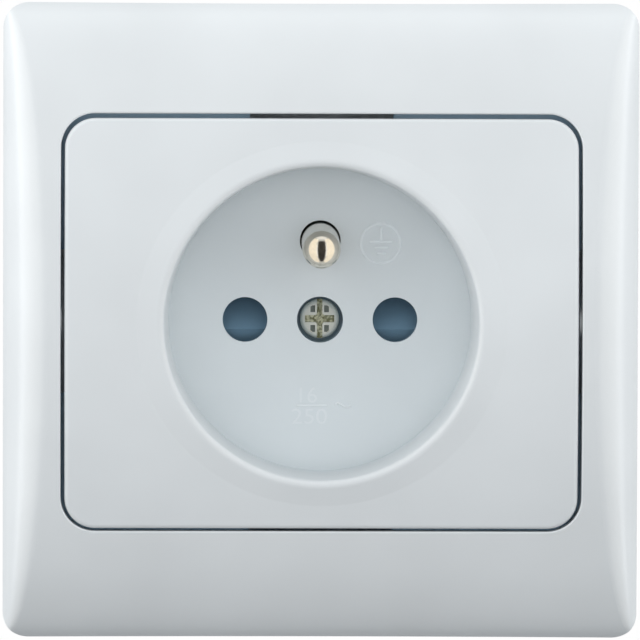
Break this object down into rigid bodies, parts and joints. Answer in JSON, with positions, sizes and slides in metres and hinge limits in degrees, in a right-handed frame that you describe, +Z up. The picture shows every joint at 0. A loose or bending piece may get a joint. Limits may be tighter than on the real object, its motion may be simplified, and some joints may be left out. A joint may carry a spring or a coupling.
{
  "type": "wall socket",
  "caption": "Flush wall socket: arched square surround, centre plate with a round well, contact holes and earth pin, on a steel mounting plate with a shuttered insert behind",
  "frame": {"origin": "middle of the socket on the wall plane, at the centre of the wall screws", "axes": "+X to the viewer's right, -Y out of the wall towards the viewer, +Z up"},
  "size_m": [0.08, 0.0383, 0.08],
  "materials": {
    "frame_moulding": "smooth gloss moulded thermoplastic",
    "plate_moulding": "smooth gloss moulded thermoplastic",
    "plate_steel": "zinc-plated sheet steel",
    "body_moulding": "satin moulded thermoset",
    "cover_moulding": "satin moulded thermoplastic",
    "shutter_moulding": "satin moulded thermoplastic",
    "spring_steel": "drawn spring wire",
    "pin_nickel": "polished nickel-plated brass",
    "contact_brass": "rolled brass strip",
    "bush_brass": "turned brass",
    "screw_zinc": "passivated zinc-plated steel",
    "clamp_steel": "zinc-plated steel",
    "rivet_steel": "zinc-plated steel"
  },
  "bodies": {
    "socket": {"surround_frame": "frame_moulding", "centre_plate": "plate_moulding", "mounting_plate": "plate_steel", "insert_body": "body_moulding", "contact_cover": "cover_moulding", "shutter_spring": "spring_steel", "earth_pin": "pin_nickel", "earth_bridge": "contact_brass", "line_contact": "contact_brass", "neutral_contact": "contact_brass", "threaded_bush": "bush_brass", "centre_screw": "screw_zinc", "line_clamp": "clamp_steel", "line_terminal_screw": "screw_zinc", "neutral_clamp": "clamp_steel", "neutral_terminal_screw": "screw_zinc", "earth_clamp": "clamp_steel", "earth_terminal_screw": "screw_zinc", "cover_screw_left": "screw_zinc", "cover_screw_right": "screw_zinc", "rivet_top_left": "rivet_steel", "rivet_top_right": "rivet_steel", "rivet_bottom_left": "rivet_steel", "rivet_bottom_right": "rivet_steel"},
    "shutter_slide": {"shutter": "shutter_moulding"}
  },
  "joints": [
    {"name": "shutter_drop", "type": "slide", "parent": "socket", "child": "shutter_slide", "axis": [0, 0, -1], "range_m": [0, 0.006], "stiffness_N_per_m": 100, "springref_m": -0.004, "deforming": ["shutter_spring"]}
  ]
}
